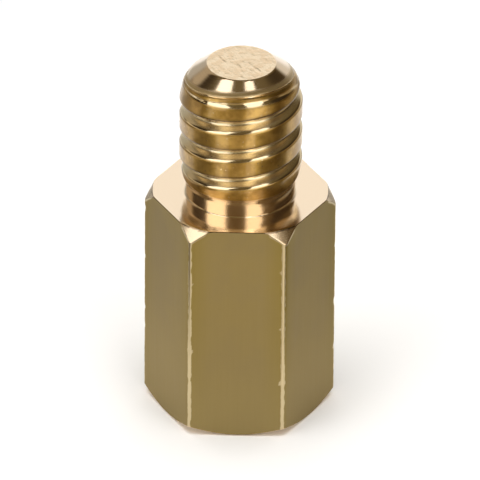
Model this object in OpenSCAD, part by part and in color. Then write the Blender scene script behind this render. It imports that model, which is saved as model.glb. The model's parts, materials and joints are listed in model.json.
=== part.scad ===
// Male-female hex standoff, turned from one length of hexagonal brass bar.
// The tapped end stands on the ground plane and the threaded stud points up.
// Lengths are in millimetres and angles in degrees.

/* [Hex body] */
// Width across the flats of the bar
hex_af = 4.56; // [4.2:0.02:8]
// Height of the body, from the tapped end to the shoulder
body_h = 6.5; // [3:0.1:25]
// Rounding of the long corners of the bar
corner_r = 0.08; // [0.03:0.01:0.2]
// Width of the shoulder chamfer at a corner, along a radius
shoulder_chamfer = 0.235; // [0.05:0.005:0.4]
// Slope of the shoulder chamfer, from the face
shoulder_slope = 60; // [20:1:70]
// Width of the foot chamfer at a corner, along a radius
foot_chamfer = 0.38; // [0.05:0.01:0.4]
// Slope of the foot chamfer, from the face
foot_slope = 37; // [20:1:70]

/* [Thread] */
// Length of the stud above the shoulder
stud_len = 4; // [2.8:0.1:5]
// Diameter over the flat crests of the thread
crest_d = 3.35; // [3.1:0.05:3.6]
// Depth of the groove below the crests
thread_depth = 0.305; // [0.2:0.005:0.4]
// Rise of the thread in one turn
pitch = 0.88; // [0.7:0.01:1.2]
// Included angle of the groove
thread_angle = 60; // [50:1:65]
// Width of the flat at the bottom of the groove
root_flat = 0.03; // [0.01:0.01:0.08]
// Height above the shoulder at which the groove centre passes +X
thread_z = 0.5; // [0.4:0.02:0.8]
// Height above the shoulder at which the groove dies away in the neck
groove_start = 0.32; // [0.2:0.02:0.6]
// Distance from the end face to where the groove dies away at the point
groove_end_gap = 0.41; // [0.2:0.01:1]
// Turn over which the groove grows to its full depth
fade_turn = 100; // [40:5:180]

/* [Neck and point] */
// Depth of the neck below the crests
neck_depth = 0.175; // [0.1:0.005:0.3]
// Height of the neck
neck_len = 0.38; // [0.2:0.02:0.8]
// Height of the sloping side that closes the neck
neck_side = 0.2; // [0.05:0.01:0.3]
// How far the first crest beyond the neck stays below full size
first_crest_depth = 0.085; // [0.02:0.005:0.095]
// Height over which that crest grows to full size
first_crest_len = 0.46; // [0.1:0.02:0.8]
// Width of the chamfer at the point, along a radius
tip_chamfer = 0.6; // [0.3:0.02:0.9]
// Slope of that chamfer, from the end face
tip_slope = 36.5; // [25:0.5:50]
// Radius that blends the chamfer into the side of the stud
tip_round = 0.3; // [0.1:0.05:0.45]
// Depth below the crests at which the chamfer ends
lead_depth = 0.125; // [0.05:0.005:0.2]
// Height over which the crests then grow to full size
lead_len = 0.6; // [0.2:0.05:1]

/* [Tapped hole] */
// Room beyond the end of a stud of the same length, down to the drill point
hole_gap = 0.6; // [0.2:0.05:1]
// Least metal between the tip of the drill point and the shoulder
least_web = 0.4; // [0.3:0.05:1]
// Added to the groove diameter for the bore, so that the same stud screws in
bore_clearance = 0.03; // [0:0.01:0.2]
// Added to the crest diameter for the mouth of the countersink
sink_clearance = 0.15; // [0:0.01:0.3]
// Included angle of the countersink
sink_angle = 90; // [60:1:120]
// Included angle of the drill point
drill_angle = 118; // [90:1:140]

/* [Hidden] */

SMOOTH = 96;        // fineness of the turned surfaces
RINGS = 40;         // sections of the groove cutter in one turn
CORNER_STEPS = 4;   // narrow flats that round each long corner
BLEND_STEPS = 4;    // narrow cones that blend the point into the side of the stud
PAST = 0.3;         // how far a cutter runs past what it cuts
CLEAR = 0.1;        // how far the groove cutter lies outside the crests where it starts and ends

hex_corner = hex_af / sqrt(3);
crest_r = crest_d / 2;
root_r = crest_r - thread_depth;
lead_r = crest_r - lead_depth;
tip_h = tip_chamfer * tan(tip_slope);
bore_d = 2 * root_r + bore_clearance;
drill_point = bore_d / 2 / tan(drill_angle / 2);
bore_depth = min(stud_len + hole_gap, body_h - least_web - drill_point);
sink_d = crest_d + sink_clearance;

// Degrees turned by the groove, from its pass over +X, when its centre is at height z.
function turned_at(z) = (z - thread_z) / pitch * 360;
groove_from = turned_at(groove_start);
groove_to = turned_at(stud_len - groove_end_gap);

// 1 where the groove has its full depth, falling to 0 at its two ends.
function depth_share(turned) =
    min(1, (turned - groove_from) / fade_turn, (groove_to - turned) / fade_turn);

// One section of the groove cutter: a V with a narrow flat bottom, open to the outside.
function groove_section(turned) =
    let (share = depth_share(turned),
         bottom = root_r * share + (crest_r + CLEAR) * (1 - share),
         top = crest_r + CLEAR + PAST,
         half_bottom = root_flat / 2,
         half_top = half_bottom + (top - bottom) * tan(thread_angle / 2),
         z = thread_z + pitch * turned / 360)
    [for (p = [[top, -half_top], [bottom, -half_bottom], [bottom, half_bottom], [top, half_top]])
        [p[0] * cos(turned), p[0] * sin(turned), z + p[1]]];

// The cutter of the right-hand thread: its sections joined in a helix and closed at both ends.
module groove_cutter() {
    steps = ceil((groove_to - groove_from) / 360 * RINGS);
    sections = [for (i = [0:steps])
        groove_section(groove_from + (groove_to - groove_from) * i / steps)];
    sides = len(sections[0]);
    walls = [for (i = [0:steps - 1], j = [0:sides - 1])
        let (a = i * sides + j, b = i * sides + (j + 1) % sides)
        each [[a, b + sides, b], [a, a + sides, b + sides]]];
    first_end = [for (j = [0:sides - 1]) j];
    last_end = [for (j = [sides - 1:-1:0]) steps * sides + j];
    polyhedron(points = [for (s = sections) each s], faces = concat(walls, [first_end, last_end]));
}

// Section of the drawn bar: a hexagon with rounded corners, two of them on the X axis.
module bar_section() {
    centre_r = hex_corner - corner_r / cos(30);
    polygon([for (corner = [0:60:300], step = [0:CORNER_STEPS])
        let (a = corner - 30 + 60 * step / CORNER_STEPS)
        [centre_r * cos(corner) + corner_r * cos(a), centre_r * sin(corner) + corner_r * sin(a)]]);
}

// What the facing and chamfering cuts leave of a round bar.
module turned_envelope() {
    out = hex_corner + PAST;
    rotate_extrude($fn = SMOOTH)
        polygon([[0, 0],
                 [hex_corner - foot_chamfer, 0],
                 [out, (foot_chamfer + PAST) * tan(foot_slope)],
                 [out, body_h - (shoulder_chamfer + PAST) * tan(shoulder_slope)],
                 [hex_corner - shoulder_chamfer, body_h],
                 [0, body_h]]);
}

module hex_body() {
    intersection() {
        linear_extrude(height = body_h) bar_section();
        turned_envelope();
    }
}

// Arc that rounds the corner between two straight lines of a profile.
function rounded(before, corner, after, r) =
    let (u = (before - corner) / norm(before - corner),
         v = (after - corner) / norm(after - corner),
         half = acos(u * v) / 2,
         centre = corner + (u + v) / norm(u + v) * r / sin(half),
         first = corner + u * r / tan(half) - centre,
         last = corner + v * r / tan(half) - centre,
         a = atan2(first[1], first[0]),
         b = atan2(last[1], last[0]))
    [for (i = [0:BLEND_STEPS])
        let (t = a + (b - a) * i / BLEND_STEPS)
        centre + r * [cos(t), sin(t)]];

// The stud as turned, before the thread is cut. It starts inside the body.
module stud_blank() {
    neck_r = crest_r - neck_depth;
    first_z = neck_len + neck_side;
    lead_start = [crest_r, stud_len - tip_h - lead_len];
    lead_end = [lead_r, stud_len - tip_h];
    end_rim = [lead_r - tip_chamfer, stud_len];
    rotate_extrude($fn = SMOOTH)
        polygon([[0, -PAST],
                 [neck_r, -PAST],
                 [neck_r, neck_len],
                 [crest_r - first_crest_depth, first_z],
                 [crest_r, first_z + first_crest_len],
                 lead_start,
                 each rounded(lead_start, lead_end, end_rim, tip_round),
                 end_rim,
                 [0, stud_len]]);
}

module stud() {
    difference() {
        stud_blank();
        groove_cutter();
    }
}

// Blind hole, drilled and countersunk, with its bore at the crests of the inside thread.
module tapped_hole() {
    translate([0, 0, -PAST])
        cylinder(d = bore_d, h = bore_depth + PAST, $fn = SMOOTH);
    translate([0, 0, bore_depth])
        cylinder(d1 = bore_d, d2 = 0, h = drill_point, $fn = SMOOTH);
    translate([0, 0, -PAST])
        cylinder(d1 = sink_d + 2 * PAST * tan(sink_angle / 2), d2 = 0,
                 h = PAST + sink_d / 2 / tan(sink_angle / 2), $fn = SMOOTH);
}

module standoff() {
    color("#b8964f")
        difference() {
            union() {
                hex_body();
                translate([0, 0, body_h]) stud();
            }
            tapped_hole();
        }
}

standoff();
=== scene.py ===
import json
import math
import random

import bmesh
import bpy
from mathutils import Matrix, Quaternion, Vector, noise


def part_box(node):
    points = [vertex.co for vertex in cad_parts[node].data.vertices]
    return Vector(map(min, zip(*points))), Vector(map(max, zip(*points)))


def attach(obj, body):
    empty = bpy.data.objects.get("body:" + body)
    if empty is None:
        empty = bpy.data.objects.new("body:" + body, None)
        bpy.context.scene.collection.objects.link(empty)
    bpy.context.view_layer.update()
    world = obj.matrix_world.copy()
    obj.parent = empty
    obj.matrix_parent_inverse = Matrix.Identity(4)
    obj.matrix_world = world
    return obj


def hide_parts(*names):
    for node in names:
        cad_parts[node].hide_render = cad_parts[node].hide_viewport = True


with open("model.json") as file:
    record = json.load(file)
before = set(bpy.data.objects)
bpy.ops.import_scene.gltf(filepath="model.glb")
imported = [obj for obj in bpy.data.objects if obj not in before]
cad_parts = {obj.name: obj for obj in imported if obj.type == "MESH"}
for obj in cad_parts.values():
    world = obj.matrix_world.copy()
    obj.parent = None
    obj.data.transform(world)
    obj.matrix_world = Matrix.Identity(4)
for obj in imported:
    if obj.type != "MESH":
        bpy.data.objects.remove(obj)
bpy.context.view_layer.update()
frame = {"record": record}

# ---- Camera ----
# A long lens, a third of the way up to overhead, turned slightly to the right of the front flat and rolled
# by half a degree.
CAMERA_TURN = math.radians(1.4)
CAMERA_ROLL = math.radians(0.45)
CAMERA_HEIGHT = math.radians(31.1)
CAMERA_DISTANCE = 0.3
LENS_ANGLE = math.radians(2.508)
LOOK_AT_Z = 0.004893

node_low, node_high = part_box("standoff")
towards_camera = Vector((math.sin(CAMERA_TURN) * math.cos(CAMERA_HEIGHT),
                         -math.cos(CAMERA_TURN) * math.cos(CAMERA_HEIGHT),
                         math.sin(CAMERA_HEIGHT)))
camera_data = bpy.data.cameras.new("camera")
camera_data.angle = LENS_ANGLE
camera = bpy.data.objects.new("camera", camera_data)
camera.location = Vector((0, 0, node_low.z + LOOK_AT_Z)) + CAMERA_DISTANCE * towards_camera
upright = towards_camera.to_track_quat("Z", "Y")
camera.rotation_euler = (upright @ Quaternion((0, 0, 1), CAMERA_ROLL)).to_euler()
bpy.context.scene.collection.objects.link(camera)
bpy.context.scene.camera = camera
bpy.context.scene.view_settings.view_transform = "Standard"


# ---- Floor ----
# A plain white sheet that ends a little in front of the standoff and beside it, so that the sides of the
# metal show the room beyond the sheet. It takes the standoff's soft shadow.
FLOOR_FRONT = 0.0052
FLOOR_SIDE = 0.0075
FLOOR_BACK = 0.06
FLOOR_DROP = 0.00001
FLOOR_COLOUR = (0.93, 0.93, 0.93, 1.0)


def new_material(name):
    """An empty material with its node tree."""
    material = bpy.data.materials.new(name)
    material.use_nodes = True
    material.node_tree.nodes.clear()
    return material, material.node_tree


def put(tree, kind, inputs=None, **settings):
    """Adds a node. Each input is a socket to link from, or a plain value."""
    node = tree.nodes.new(kind)
    for name, value in settings.items():
        setattr(node, name, value)
    for name, value in (inputs or {}).items():
        if isinstance(value, bpy.types.NodeSocket):
            tree.links.new(value, node.inputs[name])
        else:
            node.inputs[name].default_value = value
    return node


floor_mesh = bmesh.new()
bmesh.ops.create_grid(floor_mesh, x_segments=1, y_segments=1, size=1.0)
bmesh.ops.scale(floor_mesh, verts=floor_mesh.verts[:], vec=(FLOOR_SIDE, (FLOOR_FRONT + FLOOR_BACK) / 2, 1.0))
bmesh.ops.translate(floor_mesh, verts=floor_mesh.verts[:],
                    vec=(0, (FLOOR_BACK - FLOOR_FRONT) / 2, node_low.z - FLOOR_DROP))
floor_data = bpy.data.meshes.new("floor")
floor_mesh.to_mesh(floor_data)
floor_mesh.free()
floor = bpy.data.objects.new("floor", floor_data)
bpy.context.scene.collection.objects.link(floor)

floor_material, floor_tree = new_material("pale floor")
floor_shader = put(floor_tree, "ShaderNodeBsdfPrincipled",
                   {"Base Color": FLOOR_COLOUR, "Roughness": 0.9, "Specular IOR Level": 0.0})
put(floor_tree, "ShaderNodeOutputMaterial", {"Surface": floor_shader.outputs["BSDF"]})
floor_data.materials.append(floor_material)


# ---- Studio light ----
# Two tall soft boxes stand in front, one on each side, with two more below the level of the floor that light
# the upright faces. A soft light overhead fills the floor and isn't reflected. The room is dim and warm in
# front and overhead, lighter at both sides, and has a white backdrop behind that is greyer at its ends.
STUDIO_SIZE = 0.25
BACKDROP = (1.0, 1.0, 1.0, 1.0)
BACKDROP_LEFT = (0.43, 0.42, 0.39, 1.0)
BACKDROP_RIGHT = (0.68, 0.66, 0.62, 1.0)
BACKDROP_FOOT = (0.3, 0.29, 0.26, 1.0)
BACKDROP_TOP = 0.8
BACKDROP_ROUND = 0.45
ROOM_ABOVE = (0.13, 0.1, 0.05, 1.0)
ROOM_SIDE = (0.035, 0.024, 0.013, 1.0)
ROOM_LIT = (0.9, 0.8, 0.62, 1.0)
ROOM_RIGHT = (0.3, 0.235, 0.14, 1.0)
ROOM_FRONT = (0.072, 0.044, 0.012, 1.0)
ROOM_MIDDLE = (0.31, 0.25, 0.14, 1.0)
ROOM_LOW = (0.42, 0.35, 0.24, 1.0)
ROOM_BEHIND = (0.4, 0.34, 0.25, 1.0)


def soft_box(name, first, second, up, lowest, highest, radiance, glossy=True):
    """A tall lamp that faces the object. Its foot is the line from first to second. It rises along up, and
    reaches from lowest to highest times up. Lengths are in studio sizes, and the second number of each place
    is how far it is in front of the object."""
    first, second, up = [Vector((x, -y, z)) * STUDIO_SIZE for x, y, z in (first, second, up)]
    across = second - first
    upright = (up - across * up.dot(across) / across.length_squared).normalized()
    middle = (first + second) / 2 + up * (lowest + highest) / 2
    facing = across.normalized().cross(upright)
    if facing.dot(middle) < 0:
        across, facing = -across, -facing
    data = bpy.data.lights.new(name, "AREA")
    data.shape = "RECTANGLE"
    data.size = across.length
    data.size_y = (highest - lowest) * up.length
    data.energy = radiance * 4 * data.size * data.size_y
    lamp = bpy.data.objects.new(name, data)
    lamp.matrix_world = Matrix((across.normalized(), upright, facing)).transposed().to_4x4()
    lamp.location = middle
    lamp.visible_glossy = glossy
    lamp.visible_camera = False
    bpy.context.scene.collection.objects.link(lamp)


def maths(tree, operation, *values):
    """The result of one Math node."""
    return put(tree, "ShaderNodeMath", dict(enumerate(values)), operation=operation).outputs["Value"]


def ramp(tree, value, start, end):
    """0 at start, 1 at end, with a soft change between."""
    return put(tree, "ShaderNodeMapRange", {"Value": value, "From Min": start, "From Max": end},
               interpolation_type="SMOOTHSTEP").outputs["Result"]


def mixed(tree, share, first, second):
    """The first colour where share is 0, and the second where it is 1."""
    return put(tree, "ShaderNodeMix", {0: share, 6: first, 7: second}, data_type="RGBA").outputs[2]


soft_box("left box", (-1.59, 0.487, 1.0), (-1.327, 2.395, 1.646), (0.01, -0.34, 1.0), -1.4, 4.0, 1.15)
soft_box("right box", (0.391, 1.617, 1.0), (1.0235, 0.906, 0.8214), (0.0125, -0.24, 1.0), -1.3, 3.2, 1.08)
soft_box("left low box", (-1.43, 1.37, 0.0), (-0.75, 1.85, 0.0), (0.0, 0.0, 1.0), -3.6, -0.35, 0.95)
soft_box("right low box", (0.38, 1.96, 0.0), (0.95, 1.76, 0.0), (0.0, 0.0, 1.0), -3.6, -0.3, 1.1)
soft_box("floor light", (-1.5, -1.5, 3.0), (1.5, -1.5, 3.0), (0.0, 1.0, 0.0), 0.0, 3.0, 2.5, glossy=False)

world = bpy.data.worlds.new("studio")
bpy.context.scene.world = world
world.use_nodes = True
sky = world.node_tree
sky.nodes.clear()
way = put(sky, "ShaderNodeSeparateXYZ", {"Vector": put(sky, "ShaderNodeTexCoord").outputs["Generated"]})
to_right, to_back, rise = way.outputs["X"], way.outputs["Y"], way.outputs["Z"]
off_side = maths(sky, "ABSOLUTE", to_right)


def within(*limits):
    """The share of a region with soft limits. Each limit is a value, where it is 0 and where it is 1."""
    share = 1.0
    for value, start, end in limits:
        share = maths(sky, "MULTIPLY", ramp(sky, value, start, end), share)
    return share


off_level = maths(sky, "ABSOLUTE", rise)
room = mixed(sky, ramp(sky, rise, 0.8, 0.3), ROOM_ABOVE, ROOM_FRONT)
for colour, *limits in (
        # The middle of the front wall, and the floor before it.
        (ROOM_MIDDLE, (rise, -0.42, -0.3), (rise, 0.36, 0.24), (off_side, 0.6, 0.4)),
        (ROOM_LOW, (rise, -0.2, -0.4), (off_side, 0.5, 0.3)),
        # The side walls, dark above and below, with lit strips on the left and a dim one on the right.
        (ROOM_SIDE, (off_side, 0.55, 0.7), (to_back, -0.3, -0.15), (off_level, 0.3, 0.4)),
        (ROOM_LIT, (to_right, -0.78, -0.88), (to_back, -0.27, -0.17), (rise, -0.45, -0.35),
         (rise, 0.36, 0.28), (off_level, 0.08, 0.2)),
        (ROOM_RIGHT, (to_right, 0.8, 0.9), (to_back, -0.22, -0.12), (rise, -0.42, -0.32), (rise, 0.32, 0.2)),
        # A lit strip beyond the right box, and the wall at the left of the backdrop.
        (ROOM_LIT, (to_right, 0.6, 0.68), (to_back, -0.5, -0.58), (off_level, 0.42, 0.32)),
        (ROOM_BEHIND, (to_right, -0.25, -0.45), (to_back, 0.35, 0.5), (rise, 0.2, 0.4))):
    room = mixed(sky, within(*limits), room, colour)

# The backdrop is white in the middle, greyer at the ends and towards its foot, and rounded at the top.
backdrop = mixed(sky, ramp(sky, to_right, -0.2, 0.2), BACKDROP_LEFT, BACKDROP_RIGHT)
backdrop = mixed(sky, within((off_side, 0.2, 0.45), (rise, -0.15, 0.05)), BACKDROP, backdrop)
at_foot = within((off_side, 0.3, 0.4), (rise, -0.1, -0.18), (rise, -0.42, -0.34))
backdrop = mixed(sky, at_foot, backdrop, BACKDROP_FOOT)
over_top = maths(sky, "SUBTRACT", maths(sky, "MULTIPLY_ADD", off_side, BACKDROP_ROUND, rise),
                 maths(sky, "MULTIPLY", to_back, BACKDROP_TOP))
studio = mixed(sky, within((over_top, 0.16, -0.14), (to_back, 0.05, 0.2)), room, backdrop)
shown = mixed(sky, put(sky, "ShaderNodeLightPath").outputs["Is Camera Ray"], studio, BACKDROP)
put(sky, "ShaderNodeOutputWorld",
    {"Surface": put(sky, "ShaderNodeBackground", {"Color": shown}).outputs["Background"]})


# ---- Standoff ----
# One piece, turned from drawn hexagonal brass bar in one setting of a lathe: the flats keep the bar's drawn
# skin, and every other face is cut. Lengths below are in millimetres, as the maker's drawing has them.
MM = 0.001
MOUNTS = {mount["name"]: mount for mount in frame["record"]["mounts"]}
SHOULDER_Z = MOUNTS["shoulder_face"]["pos_m"][2] / MM
END_Z = node_high.z / MM
FLAT_R = node_high.y / MM
CORNER_R = node_high.x / MM

standoff = bmesh.new()


def wire(bm, points):
    """A line of edges through points given as radius and height."""
    verts = [bm.verts.new((r, 0, z)) for r, z in points]
    for first, second in zip(verts, verts[1:]):
        bm.edges.new((first, second))
    return verts


def round_off(bm, vert, length, segments):
    """Rounds one corner of a wire, from that length before the corner to that length after it."""
    bmesh.ops.bevel(bm, geom=[vert], offset=length, offset_type="OFFSET", segments=segments,
                    profile=0.5, affect="VERTICES", material=-1)


def divide(bm, longest):
    """Cuts the edges of a wire that are longer than that."""
    for edge in bm.edges[:]:
        cuts = math.ceil(edge.calc_length() / longest) - 1
        if cuts > 0:
            bmesh.ops.subdivide_edges(bm, edges=[edge], cuts=cuts)


def turn(bm, columns, turns=1, rise=0.0):
    """Spins a wire round the Z axis. A thread rises in that turn and is then repeated turn upon turn."""
    bmesh.ops.spin(bm, geom=bm.verts[:] + bm.edges[:], cent=(0, 0, 0), axis=(0, 0, 1),
                   dvec=(0, 0, rise / columns), angle=math.tau, steps=columns, use_merge=rise == 0)
    once = bm.verts[:] + bm.edges[:] + bm.faces[:]
    for number in range(1, turns):
        copied = bmesh.ops.duplicate(bm, geom=once)["geom"]
        verts = [part for part in copied if isinstance(part, bmesh.types.BMVert)]
        bmesh.ops.translate(bm, verts=verts, vec=(0, 0, rise * number))
    bmesh.ops.remove_doubles(bm, verts=[vert for vert in bm.verts if vert.is_boundary], dist=0.0001)


def cut_level(bm, z, slope=(0.0, 0.0), drop_above=False, drop_below=False):
    """Adds a line of edges at that height, and removes what lies above or below it. The line may slope."""
    bmesh.ops.bisect_plane(bm, geom=bm.verts[:] + bm.edges[:] + bm.faces[:], dist=0.00001,
                           plane_co=(0, 0, z), plane_no=(-slope[0], -slope[1], 1),
                           clear_outer=drop_above, clear_inner=drop_below)


def move_all(bm, place):
    """Moves each vertex to where place puts its angle, radius and height."""
    for vert in bm.verts:
        angle = math.atan2(vert.co.y, vert.co.x)
        radius = math.hypot(vert.co.x, vert.co.y)
        angle, radius, height = place(angle, radius, vert.co.z)
        vert.co = (radius * math.cos(angle), radius * math.sin(angle), height)


def add_to_standoff(bm):
    """Puts a finished stretch of surface with the others."""
    data = bpy.data.meshes.new("stretch")
    bm.to_mesh(data)
    bm.free()
    standoff.from_mesh(data)
    bpy.data.meshes.remove(data)


def rim(test):
    """The open edges whose ends both pass a test of radius and height."""
    return [edge for edge in standoff.edges if edge.is_boundary
            and all(test(math.hypot(v.co.x, v.co.y), v.co.z) for v in edge.verts)]


# Body: a hexagon with rounded long corners. The facing cuts leave it square at both ends, and the chamfering
# cuts take its corners off in cones, so they run out to nothing at the middle of each flat. It is turned as
# a round bar and then carried onto the hexagon, with its columns crowded at the corners.
CORNER_ROUND = 0.15
SHOULDER_FACE_R = 2.3977
SHOULDER_SLOPE = math.tan(math.radians(60))
FOOT_FACE_R = 2.225
FOOT_SLOPE = math.tan(math.radians(32))
RING_INNER_R = 1.508
FOOT_INNER_R = 1.78
LEAST_EDGE = 0.01
BODY_COLUMNS = 180
CORNER_CROWDING = 2.6

shoulder_cone = (CORNER_R - SHOULDER_FACE_R) * SHOULDER_SLOPE
foot_cone = (CORNER_R - FOOT_FACE_R) * FOOT_SLOPE
body = bmesh.new()
corners = wire(body, [(RING_INNER_R, SHOULDER_Z), (SHOULDER_FACE_R, SHOULDER_Z),
                      (CORNER_R, SHOULDER_Z - shoulder_cone), (CORNER_R, foot_cone),
                      (FOOT_FACE_R, 0), (FOOT_INNER_R, 0)])
round_off(body, corners[1], 0.008, 3)
round_off(body, corners[2], 0.03, 4)
round_off(body, corners[3], 0.015, 3)
round_off(body, corners[4], 0.008, 3)
divide(body, 0.06)
turn(body, BODY_COLUMNS)

centre_r = (FLAT_R - CORNER_ROUND) / math.cos(math.radians(30))


def hexagon_radius(angle):
    """Distance from the axis to the bar's skin, at an angle from a long corner."""
    along_flat = FLAT_R / math.cos(math.radians(30) - abs(angle))
    across = centre_r * math.sin(angle)
    if abs(across) >= CORNER_ROUND:
        return along_flat
    on_arc = centre_r * math.cos(angle) + math.sqrt(CORNER_ROUND ** 2 - across ** 2)
    tangent = math.atan2(CORNER_ROUND / 2, centre_r + CORNER_ROUND * math.cos(math.radians(30)))
    return on_arc if abs(angle) < tangent else along_flat


# The long corners are rubbed bright in a line, which lies a little off the corner on one of them, and are
# nicked. A nick has the corner's angle, its height, its depth and half its length.
RUB_OFF = {-60: -0.055}
LONG_WEAR = 0.003
SHORT_WEAR = 0.004
WEAR_WIDTH = 0.07
NICK_WIDTH = 0.06
wear = random.Random(11)
NICKS = [(-60, 4.21, 0.008, 0.04), (-60, 3.44, 0.008, 0.04), (-60, 1.7, 0.012, 0.08),
         (-120, 4.82, 0.008, 0.04), (-120, 2.7, 0.012, 0.1)]
for corner in (0, 60, 120, 180):
    for _ in range(4):
        NICKS.append((corner, wear.uniform(0.6, 5.9), wear.uniform(0.01, 0.02), wear.uniform(0.04, 0.1)))


def worn(corner, off_corner, radius, height):
    """How deep the wear and the nicks are at a place near a long corner."""
    across = radius * math.sin(math.radians(off_corner)) - 0.02 * noise.noise((height * 2.5, corner, 5.0))
    long_wear = max(0.0, noise.noise((corner, 0.0, height * 1.7)) + 0.2)
    short_wear = max(0.0, noise.noise((corner, 7.0, height * 7.0)))
    depth = (LONG_WEAR * long_wear + SHORT_WEAR * short_wear) * math.exp(-(across / WEAR_WIDTH) ** 2)
    for at, z, deep, half in NICKS:
        if at % 360 == corner % 360:
            depth += deep * math.exp(-((height - z) / half) ** 2 - (across / NICK_WIDTH) ** 2)
    return depth


def body_place(angle, radius, height):
    """Carries a point of the turned body onto the hexagon."""
    degrees = math.degrees(angle)
    corner = round(degrees / 60) * 60
    share = (degrees - corner) / 30
    outward = min(1.0, (radius - RING_INNER_R) / 0.5)
    off_corner = math.copysign(30 * abs(share) ** (1 + (CORNER_CROWDING - 1) * outward), share)
    skin = hexagon_radius(math.radians(off_corner))
    upper = height > SHOULDER_Z / 2
    face_r = SHOULDER_FACE_R if upper else FOOT_FACE_R
    inner_r = RING_INNER_R if upper else FOOT_INNER_R
    edge_r = min(face_r, skin - LEAST_EDGE)
    cone_share = (skin - edge_r) / (CORNER_R - face_r)
    other_face_r = FOOT_FACE_R if upper else SHOULDER_FACE_R
    other_share = (skin - min(other_face_r, skin - LEAST_EDGE)) / (CORNER_R - other_face_r)
    if radius < face_r:
        new_radius = inner_r + (radius - inner_r) * (edge_r - inner_r) / (face_r - inner_r)
    else:
        new_radius = edge_r + (radius - face_r) * cone_share
    top_share, low_share = (cone_share, other_share) if upper else (other_share, cone_share)
    side_top, side_low = SHOULDER_Z - shoulder_cone, foot_cone
    if height > side_top:
        new_height = SHOULDER_Z - (SHOULDER_Z - height) * top_share
    elif height < side_low:
        new_height = height * low_share
    else:
        new_top, new_low = SHOULDER_Z - shoulder_cone * top_share, foot_cone * low_share
        new_height = new_low + (height - side_low) * (new_top - new_low) / (side_top - side_low)
    if radius > face_r:
        new_radius -= worn(corner % 360, off_corner, new_radius, new_height)
    return math.radians(corner + off_corner), new_radius, new_height


move_all(body, body_place)
add_to_standoff(body)

# Stud: turned to a blank with a neck, a slow lead and a cone at the point, then threaded with a die. The
# die leaves rounded edges on the crests, and its groove dies away in the neck and at the point.
STUD_LENGTH = END_Z - SHOULDER_Z
STUD_COLUMNS = 180
STUD_TURNS = 7
PITCH = 0.88
CREST_R = 1.675
GROOVE_HALF = 0.191
GROOVE_APEX = 0.331
GROOVE_Z = 0.5
GROOVE_START = 0.32
GROOVE_END = 3.59
FADE_TURN = 100
# The blank: the neck and its sloping side, the first crest, the lead and the cone of the point.
NECK_R = 1.5
NECK_TOP = 0.38
NECK_SIDE_SLOPE = 0.45
FIRST_CREST_R = 1.59
FIRST_CREST_Z = 0.58
FIRST_CREST_SLOPE = 0.185
LEAD_Z = 2.956
LEAD_SLOPE = 0.2083
RIM_R = 0.95
POINT_SLOPE = 1.3514
EDGE_BLEND = 0.01
POINT_BLEND = 0.2
# The lip that the die raises on the point, on a line that lies a little askew.
LIP_Z = 3.571
LIP_R = 1.45
LIP_SLOPE = (0.049, -0.085)
LIP_LINES = 20
LIP_LINE_GAP = 0.018
POINT_MARKS_FROM = 3.4

stud = bmesh.new()
corners = wire(stud, [(CREST_R, -PITCH / 2), (CREST_R, -GROOVE_HALF), (CREST_R - GROOVE_APEX, 0),
                      (CREST_R, GROOVE_HALF), (CREST_R, PITCH / 2)])
round_off(stud, corners[1], 0.069, 8)
round_off(stud, corners[2], 0.156, 12)
round_off(stud, corners[3], 0.040, 6)
groove_depth = CREST_R - min(vert.co.x for vert in stud.verts)
divide(stud, 0.06)
bmesh.ops.translate(stud, verts=stud.verts[:], vec=(0, 0, GROOVE_Z - 2 * PITCH))
turn(stud, STUD_COLUMNS, STUD_TURNS, PITCH)

# The endless thread is cut to the stud's length, with extra lines where the blank bends and along the lip.
cut_level(stud, 0.008, drop_below=True)
cut_level(stud, STUD_LENGTH - 0.012, drop_above=True)
for z in (NECK_TOP, FIRST_CREST_Z):
    cut_level(stud, z - EDGE_BLEND)
    cut_level(stud, z + EDGE_BLEND)
for line in range(LIP_LINES):
    cut_level(stud, LIP_Z + 0.08 - LIP_LINE_GAP * line, slope=LIP_SLOPE)


def soft_min(first, second, blend):
    """The smaller of two values, with a soft change from one to the other."""
    near = max(blend - abs(first - second), 0.0) / blend
    return min(first, second) - near * near * blend / 4


def blank_radius(z):
    """Radius of the turned blank at a height above the shoulder."""
    crest = soft_min(CREST_R, FIRST_CREST_R + (z - FIRST_CREST_Z) * FIRST_CREST_SLOPE, EDGE_BLEND)
    side = soft_min(NECK_R + (z - NECK_TOP) * NECK_SIDE_SLOPE, crest, EDGE_BLEND)
    necked = -soft_min(-NECK_R, -side, EDGE_BLEND)
    lead = soft_min(necked, CREST_R - (z - LEAD_Z) * LEAD_SLOPE, EDGE_BLEND)
    return soft_min(lead, RIM_R + (STUD_LENGTH - z) * POINT_SLOPE, POINT_BLEND)


def groove_share(angle, z):
    """1 where the groove has its full depth, falling to 0 at its two ends."""
    turned = math.degrees(angle) % 360
    turned += 360 * round((z - GROOVE_Z) / PITCH - turned / 360)
    first = (GROOVE_START - GROOVE_Z) / PITCH * 360
    last = (GROOVE_END - GROOVE_Z) / PITCH * 360
    share = min(1.0, (turned - first) / FADE_TURN, (last - turned) / FADE_TURN)
    return max(0.0, share)


def above_lip(angle, z):
    """Height above the line of the lip, which is higher in front."""
    return z - LIP_Z - LIP_SLOPE[0] * LIP_R * math.cos(angle) - LIP_SLOPE[1] * LIP_R * math.sin(angle)


def point_mark(angle, z):
    """The lip itself, the fine line under it and the shallow hollow below them, all deepest in front."""
    level = above_lip(angle, z)
    front = max(0.0, 0.35 - 0.65 * math.sin(angle))
    uneven = 1 + 0.5 * noise.noise((3 * math.cos(angle), 3 * math.sin(angle), z * 4))
    lip = 0.04 * math.exp(-((level - 0.035) / 0.035) ** 2)
    fine_line = 0.05 * math.exp(-((level + 0.015) / 0.018) ** 2)
    hollow = 0.04 * math.exp(-((level + 0.17) / 0.06) ** 2)
    return front * uneven * (lip - fine_line - hollow)


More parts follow.
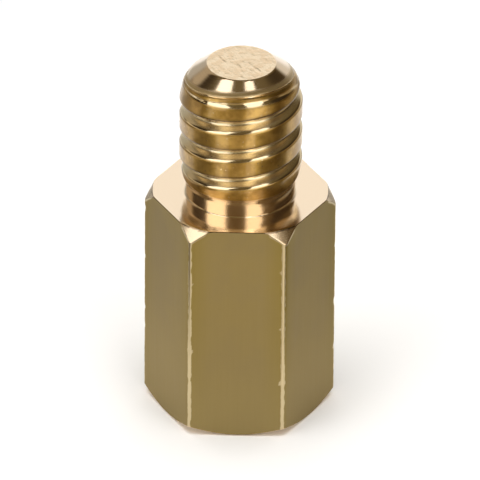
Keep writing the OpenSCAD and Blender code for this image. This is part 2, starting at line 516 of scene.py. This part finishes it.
def stud_place(angle, radius, z):
    """Carries a point of the endless thread onto the turned blank."""
    depth = (CREST_R - radius) * groove_share(angle, z)
    blank = blank_radius(z)
    root = CREST_R - groove_depth
    left = max(0.0, min(1.0, (blank - root) / groove_depth))
    new_radius = blank - depth * left
    if z > POINT_MARKS_FROM:
        new_radius += point_mark(angle, z)
    return angle, new_radius, SHOULDER_Z + z


move_all(stud, stud_place)
add_to_standoff(stud)

# End face: parted off the bar at the end of the stud. The last of the metal tears there and isn't cut, which
# leaves slanting streaks.
END_COLUMNS = 192
TEAR_WAY = (0.36, -0.93)
TEAR_DEPTH = 0.008
FINE_TEAR_DEPTH = 0.005
end_face = bmesh.new()
corners = wire(end_face, [(RIM_R + 0.004, STUD_LENGTH - 0.008), (RIM_R - 0.012, STUD_LENGTH),
                          (0, STUD_LENGTH)])
round_off(end_face, corners[1], 0.006, 3)
divide(end_face, 0.025)
turn(end_face, END_COLUMNS)


def torn(x, y):
    """Depth of the torn streaks at a place on the end face."""
    along = TEAR_WAY[0] * x + TEAR_WAY[1] * y
    across = -TEAR_WAY[1] * x + TEAR_WAY[0] * y
    streak = noise.noise((along * 2.6, across * 10.0, 3.0))
    fine = noise.noise((along * 6.0, across * 24.0, 9.0))
    return max(0.0, streak - 0.05) * TEAR_DEPTH + max(0.0, fine - 0.05) * FINE_TEAR_DEPTH


def end_place(angle, radius, z):
    """Lowers a point of the end face where it is torn, away from its rim."""
    inside = max(0.0, min(1.0, (RIM_R - 0.02 - radius) / 0.06))
    return angle, radius, SHOULDER_Z + z - inside * torn(radius * math.cos(angle), radius * math.sin(angle))


move_all(end_face, end_place)
add_to_standoff(end_face)

# Tapped hole: drilled with a 118 degree point, countersunk and tapped for the same thread, which stops
# a little above the drill's shoulder.
HOLE_R = MOUNTS["tapped_hole"]["dims"]["r_mm"]
SINK_R = 1.75
HOLE_DEPTH = SINK_R - HOLE_R + MOUNTS["tapped_hole"]["dims"]["length_mm"]
TAP_HALF = 0.18
TAP_DEPTH = 0.305
TAPPED_TO = 4.1
TAP_FADE = 0.4
HOLE_COLUMNS = 96
HOLE_TURNS = 8
DRILL_SLOPE = math.tan(math.radians(59))

hole = bmesh.new()
corners = wire(hole, [(HOLE_R, -PITCH / 2), (HOLE_R, -TAP_HALF), (HOLE_R + TAP_DEPTH, 0),
                      (HOLE_R, TAP_HALF), (HOLE_R, PITCH / 2)])
round_off(hole, corners[1], 0.02, 2)
round_off(hole, corners[2], 0.03, 2)
round_off(hole, corners[3], 0.02, 2)
divide(hole, 0.09)
bmesh.ops.translate(hole, verts=hole.verts[:], vec=(0, 0, -PITCH))
turn(hole, HOLE_COLUMNS, HOLE_TURNS, PITCH)
cut_level(hole, 0, drop_below=True)
cut_level(hole, HOLE_DEPTH, drop_above=True)
cut_level(hole, SINK_R - HOLE_R)


def hole_place(angle, radius, z):
    """Fades the inside thread out above, and opens the countersink below."""
    share = max(0.0, min(1.0, (TAPPED_TO - z) / TAP_FADE))
    return angle, max(HOLE_R + (radius - HOLE_R) * share, SINK_R - z), z


move_all(hole, hole_place)
add_to_standoff(hole)

drill_point = bmesh.new()
wire(drill_point, [(HOLE_R - 0.004, HOLE_DEPTH + 0.004), (0, HOLE_DEPTH + HOLE_R / DRILL_SLOPE)])
divide(drill_point, 0.12)
turn(drill_point, HOLE_COLUMNS)
add_to_standoff(drill_point)

# The stretches are joined along their rims: neck to shoulder, stud to end face, body to countersink, and
# hole to drill point.
bmesh.ops.bridge_loops(standoff, edges=rim(lambda r, z: r < 1.6 and abs(z - SHOULDER_Z - 0.015) < 0.025))
bmesh.ops.bridge_loops(standoff, edges=rim(lambda r, z: z > SHOULDER_Z + 1))
bmesh.ops.bridge_loops(standoff, edges=rim(lambda r, z: z < 0.01))
bmesh.ops.bridge_loops(standoff, edges=rim(lambda r, z: 4 < z < SHOULDER_Z - 0.1))
bmesh.ops.recalc_face_normals(standoff, faces=standoff.faces[:])

# Each face takes the finish of its stretch. On the body, only the upright faces keep the drawn skin.
DRAWN, TURNED, TORN, TAPPED = range(4)
for face in standoff.faces:
    face.smooth = True
    x, y, z = face.calc_center_median()
    r = math.hypot(x, y)
    if z > END_Z - 0.02 and r < RIM_R - 0.01:
        face.material_index = TORN
    elif z > SHOULDER_Z + 0.02:
        face.material_index = TURNED
    elif r < SINK_R + 0.01 and z < SHOULDER_Z - 0.1:
        face.material_index = TAPPED
    elif abs(face.normal.z) > 0.2:
        face.material_index = TURNED
    else:
        face.material_index = DRAWN

# Painted shade: a dark line along the lower edge of each crest, this far above the middle of the groove.
UNDER_CREST = 0.19


def stud_marks(angle, radius, z):
    """What the materials read on the stud: how deep a place lies in the groove, how freshly cut it is, the
    satin of the lip and the neck, and the painted shade line under each crest."""
    level = above_lip(angle, z)
    from_groove = (z - GROOVE_Z) / PITCH - angle / math.tau
    from_groove = (from_groove - round(from_groove)) * PITCH
    shade_line_share = min(1.0, 1.6 - abs(from_groove - UNDER_CREST) / 0.035)
    below_lip = min(1.0, (-0.02 - level) / 0.1)
    on_lip = min(1.0, (level + 0.01) / 0.02, (0.12 - level) / 0.05)
    return {"groove": (blank_radius(z) - radius) / groove_depth,
            "cut": min(1.0, max((0.6 - z) / 0.1, (level + 0.01) / 0.02)),
            "lip": max(on_lip, min(0.2, (0.55 - z) / 0.3)),
            "under": max(0.0, shade_line_share) * groove_share(angle, z) * max(0.0, below_lip)}


def body_marks(angle, z):
    """What the materials read on the body: the rubbed lines along the corners and the shoulder's cones, the
    stain beside them, the satin of the cones, and the painted shade line along the shoulder's edge."""
    height = SHOULDER_Z + z
    degrees = math.degrees(angle)
    corner = round(degrees / 60) * 60
    skin = hexagon_radius(math.radians(degrees - corner))
    across = skin * math.sin(math.radians(degrees - corner)) - RUB_OFF.get(corner, 0.0)
    across -= 0.02 * noise.noise((height * 2.2, corner, 4.0))
    width = 0.04 + 0.015 * noise.noise((height * 1.3, corner, 2.0))
    width += 0.02 * noise.noise((height * 6.0, corner, 2.0))
    for at, nick_z, deep, half in NICKS:
        if at % 360 == corner % 360:
            width += deep * 3 * math.exp(-((height - nick_z) / half) ** 2)
    cone_low = -(skin - min(SHOULDER_FACE_R, skin - LEAST_EDGE)) * SHOULDER_SLOPE
    on_line = (width + 0.02 - abs(across)) / 0.02
    on_rim = min((0.075 - abs(z - cone_low)) / 0.03, (-cone_low - 0.06) / 0.05)
    return {"cut": 1.0,
            "rubbed": min(1.0, max(on_line, on_rim)),
            "stain": 1 - abs(across) / 0.5,
            "lip": 0.3 if cone_low + 0.01 < z < -0.004 else 0.0,
            # Painted shade: a dark line along the shoulder's edge.
            "under": 0.8 if -0.04 < z < -0.001 else 0.0}


layers = {name: standoff.verts.layers.float.new(name)
          for name in ("groove", "cut", "lip", "rubbed", "stain", "under")}
for vert in standoff.verts:
    angle = math.atan2(vert.co.y, vert.co.x)
    z = vert.co.z - SHOULDER_Z
    if z <= 0.02:
        marks = body_marks(angle, z)
    elif z < STUD_LENGTH - 0.02:
        marks = stud_marks(angle, math.hypot(vert.co.x, vert.co.y), z)
    else:
        marks = {"cut": 1.0}
    for name, mark in marks.items():
        vert[layers[name]] = max(0.0, mark)

bmesh.ops.scale(standoff, verts=standoff.verts[:], vec=(MM, MM, MM))
standoff_data = bpy.data.meshes.new("turned_standoff")
standoff.to_mesh(standoff_data)
standoff.free()
piece = bpy.data.objects.new("turned_standoff", standoff_data)
bpy.context.scene.collection.objects.link(piece)
weighted = piece.modifiers.new("even shading", "WEIGHTED_NORMAL")
weighted.keep_sharp = True


def new_group(name, inputs, outputs):
    """A node group with its input and output nodes. Inputs are name, kind and usual value."""
    tree = bpy.data.node_groups.new(name, "ShaderNodeTree")
    for label, kind, usual in inputs:
        tree.interface.new_socket(label, in_out="INPUT", socket_type=kind).default_value = usual
    for label, kind in outputs:
        tree.interface.new_socket(label, in_out="OUTPUT", socket_type=kind)
    return tree, put(tree, "NodeGroupInput").outputs, put(tree, "NodeGroupOutput")


def use_group(tree, group, inputs):
    """Places a group in a material, with that material's values."""
    node = put(tree, "ShaderNodeGroup", node_tree=group)
    for name, value in inputs.items():
        node.inputs[name].default_value = value
    return node.outputs


# Tool lines run round the axis on every cut face: across a flat face they are rings, and on a side they are
# stacked hoops. Each is a narrow band of the same noise, read by radius and height.
tool_lines, given, result = new_group(
    "tool lines", [("Fineness", "NodeSocketFloat", 9000.0), ("Wander", "NodeSocketFloat", 0.05)],
    [("Lines", "NodeSocketFloat")])
place = put(tool_lines, "ShaderNodeSeparateXYZ",
            {"Vector": put(tool_lines, "ShaderNodeTexCoord").outputs["Object"]}).outputs
radius = maths(tool_lines, "SQRT", maths(tool_lines, "MULTIPLY_ADD", place["X"], place["X"],
                                         maths(tool_lines, "MULTIPLY", place["Y"], place["Y"])))
turned_by = maths(tool_lines, "ARCTAN2", place["Y"], place["X"])
line_place = put(tool_lines, "ShaderNodeCombineXYZ",
                 {"X": maths(tool_lines, "MULTIPLY", radius, given["Fineness"]),
                  "Y": maths(tool_lines, "MULTIPLY", place["Z"], given["Fineness"]),
                  "Z": maths(tool_lines, "MULTIPLY", turned_by, given["Wander"])})
line_noise = put(tool_lines, "ShaderNodeTexNoise",
                 {"Vector": line_place.outputs["Vector"], "Scale": 1.0, "Detail": 2.0, "Roughness": 0.6})
tool_lines.links.new(line_noise.outputs["Fac"], result.inputs["Lines"])

# Tarnish is a thin, uneven browning of the brass, in soft clouds.
tarnish, given, result = new_group(
    "tarnish", [("Cloud size", "NodeSocketFloat", 1500.0), ("Low", "NodeSocketFloat", 0.4),
                ("High", "NodeSocketFloat", 0.7)], [("Share", "NodeSocketFloat")])
cloud = put(tarnish, "ShaderNodeTexNoise",
            {"Vector": put(tarnish, "ShaderNodeTexCoord").outputs["Object"], "Scale": given["Cloud size"],
             "Detail": 4.0, "Roughness": 0.55})
tarnish.links.new(ramp(tarnish, cloud.outputs["Fac"], given["Low"], given["High"]), result.inputs["Share"])

# Specks are painted glints: tiny bright, smooth spots, scattered unevenly.
specks, given, result = new_group(
    "specks", [("Fineness", "NodeSocketFloat", 9000.0), ("Size", "NodeSocketFloat", 0.2)],
    [("Share", "NodeSocketFloat")])
speck_place = put(specks, "ShaderNodeTexCoord").outputs["Object"]
cells = put(specks, "ShaderNodeTexVoronoi", {"Vector": speck_place, "Scale": given["Fineness"]})
patches = put(specks, "ShaderNodeTexNoise", {"Vector": speck_place, "Scale": 3000.0})
near = ramp(specks, cells.outputs["Distance"], given["Size"], 0.0)
specks.links.new(maths(specks, "MULTIPLY", near, ramp(specks, patches.outputs["Fac"], 0.5, 0.6)),
                 result.inputs["Share"])

# Draw lines run the length of the bar, left by the die that it was pulled through.
draw_lines, given, result = new_group(
    "draw lines", [("Fineness", "NodeSocketFloat", 12000.0)], [("Lines", "NodeSocketFloat")])
stretched = put(draw_lines, "ShaderNodeMapping",
                {"Vector": put(draw_lines, "ShaderNodeTexCoord").outputs["Object"],
                 "Scale": (1.0, 1.0, 0.03)})
streaks = put(draw_lines, "ShaderNodeTexNoise",
              {"Vector": stretched.outputs["Vector"], "Scale": given["Fineness"], "Detail": 3.0,
               "Roughness": 0.6})
draw_lines.links.new(streaks.outputs["Fac"], result.inputs["Lines"])


def metal(name, build, film=0.0):
    """A brass finish. build returns the base colour, roughness, bump height and bump strength of its tree."""
    material, tree = new_material(name)
    colour, roughness, height, strength = build(tree)
    bump = put(tree, "ShaderNodeBump", {"Height": height, "Strength": strength, "Distance": 0.00001})
    shader = put(tree, "ShaderNodeBsdfPrincipled",
                 {"Base Color": colour, "Roughness": roughness, "Metallic": 1.0, "Coat Weight": film,
                  "Coat Roughness": 0.12, "Normal": bump.outputs["Normal"]})
    put(tree, "ShaderNodeOutputMaterial", {"Surface": shader.outputs["BSDF"]})
    standoff_data.materials.append(material)


def blended(tree, share, first, second):
    """The first number where share is 0, and the second where it is 1."""
    return put(tree, "ShaderNodeMix", {0: share, 2: first, 3: second}, data_type="FLOAT").outputs[0]


SKIN = (0.39, 0.295, 0.119, 1.0)
SKIN_CLOUD = (0.365, 0.278, 0.127, 1.0)
SKIN_STAIN = (0.365, 0.272, 0.08, 1.0)
# Painted shade: the drawn skin darkens to this towards the foot.
SKIN_FOOT_SHADE = (0.315, 0.238, 0.098, 1.0)
RUBBED = (0.6, 0.49, 0.29, 1.0)


def drawn_skin(tree):
    """The bar's own skin: dull, brown and even, rubbed bright along the long corners, and darkened towards
    the foot with painted shade.
    """
    lines = use_group(tree, draw_lines, {"Fineness": 14000.0})["Lines"]
    clouds = use_group(tree, tarnish, {"Cloud size": 700.0, "Low": 0.35, "High": 0.7})["Share"]
    fine = use_group(tree, tarnish, {"Cloud size": 5000.0, "Low": 0.3, "High": 0.7})["Share"]
    rubbed = put(tree, "ShaderNodeAttribute", attribute_name="rubbed").outputs["Fac"]
    rubbed = ramp(tree, maths(tree, "MULTIPLY_ADD", fine, -0.35, rubbed), 0.05, 0.6)
    stain = put(tree, "ShaderNodeAttribute", attribute_name="stain").outputs["Fac"]
    skin = mixed(tree, clouds, SKIN, SKIN_CLOUD)
    skin = mixed(tree, stain, skin, SKIN_STAIN)
    place = put(tree, "ShaderNodeTexCoord").outputs["Object"]
    up = put(tree, "ShaderNodeSeparateXYZ", {"Vector": place}).outputs["Z"]
    # Painted shade: the flats grow darker towards the foot.
    skin = mixed(tree, ramp(tree, up, 0.006, -0.001), skin, SKIN_FOOT_SHADE)
    colour = mixed(tree, rubbed, skin, RUBBED)
    dull = maths(tree, "MULTIPLY_ADD", lines, 0.1, 0.5)
    return colour, blended(tree, rubbed, dull, 0.33), lines, 0.15


CREST = (0.39, 0.223, 0.046, 1.0)
CREST_CLOUD = (0.61, 0.375, 0.093, 1.0)
SPECK_GLINT = (0.9, 0.75, 0.45, 1.0)
GROOVE_EDGE = (0.93, 0.76, 0.48, 1.0)
GROOVE = (0.86, 0.71, 0.45, 1.0)
CUT = (0.92, 0.72, 0.5, 1.0)
CUT_LINE = (0.99, 0.8, 0.57, 1.0)
SATIN = (0.66, 0.49, 0.25, 1.0)
PAINTED_SHADE_LINE = (0.17, 0.095, 0.025, 1.0)


def turned_brass(tree):
    """Bright where freshly cut, a little duller in the groove, and browner and rougher on the crests, with a
    painted shade line under each crest.
    """
    lines = use_group(tree, tool_lines, {"Fineness": 30000.0, "Wander": 0.3})["Lines"]
    clouds = use_group(tree, tarnish, {"Cloud size": 2500.0, "Low": 0.35, "High": 0.65})["Share"]
    glints = use_group(tree, specks, {"Fineness": 9000.0, "Size": 0.25})["Share"]
    depth = put(tree, "ShaderNodeAttribute", attribute_name="groove").outputs["Fac"]
    cut = put(tree, "ShaderNodeAttribute", attribute_name="cut").outputs["Fac"]
    lip = put(tree, "ShaderNodeAttribute", attribute_name="lip").outputs["Fac"]
    under = put(tree, "ShaderNodeAttribute", attribute_name="under").outputs["Fac"]
    in_groove = ramp(tree, depth, 0.02, 0.12)
    on_flank = ramp(tree, depth, 0.15, 0.4)
    crest = mixed(tree, clouds, CREST, CREST_CLOUD)
    # Painted glints: tiny bright specks on the crests.
    crest = mixed(tree, glints, crest, SPECK_GLINT)
    groove = mixed(tree, on_flank, GROOVE_EDGE, GROOVE)
    thread = mixed(tree, in_groove, crest, groove)
    bright = mixed(tree, lines, CUT, CUT_LINE)
    bright = mixed(tree, lip, bright, SATIN)
    rough_crest = blended(tree, glints, 0.35, 0.12)
    rough_thread = blended(tree, in_groove, rough_crest, blended(tree, on_flank, 0.1, 0.25))
    rough_cut = blended(tree, lip, 0.12, 0.45)
    # Painted shade: the dark line under each crest and along the shoulder's edge.
    colour = mixed(tree, under, mixed(tree, cut, thread, bright), PAINTED_SHADE_LINE)
    return colour, blended(tree, cut, rough_thread, rough_cut), lines, 0.12


TEAR = (0.99, 0.8, 0.55, 1.0)
TEAR_CLOUD = (0.93, 0.71, 0.46, 1.0)


def torn_brass(tree):
    """The end face, torn in streaks."""
    clouds = use_group(tree, tarnish, {"Cloud size": 4000.0, "Low": 0.4, "High": 0.6})["Share"]
    colour = mixed(tree, clouds, TEAR, TEAR_CLOUD)
    return colour, 0.22, clouds, 0.2


BORE = (0.7, 0.5, 0.22, 1.0)
BORE_LINE = (0.85, 0.65, 0.34, 1.0)


def tapped_brass(tree):
    """The hole: cut bright, with the drill's and the tap's lines."""
    lines = use_group(tree, tool_lines, {"Fineness": 20000.0, "Wander": 0.3})["Lines"]
    colour = mixed(tree, lines, BORE, BORE_LINE)
    roughness = maths(tree, "MULTIPLY_ADD", lines, 0.15, 0.2)
    return colour, roughness, lines, 0.2


metal("drawn brass", drawn_skin)
metal("turned brass", turned_brass, film=0.7)
metal("torn brass", torn_brass)
metal("tapped brass", tapped_brass)

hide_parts("standoff")
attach(piece, "root")
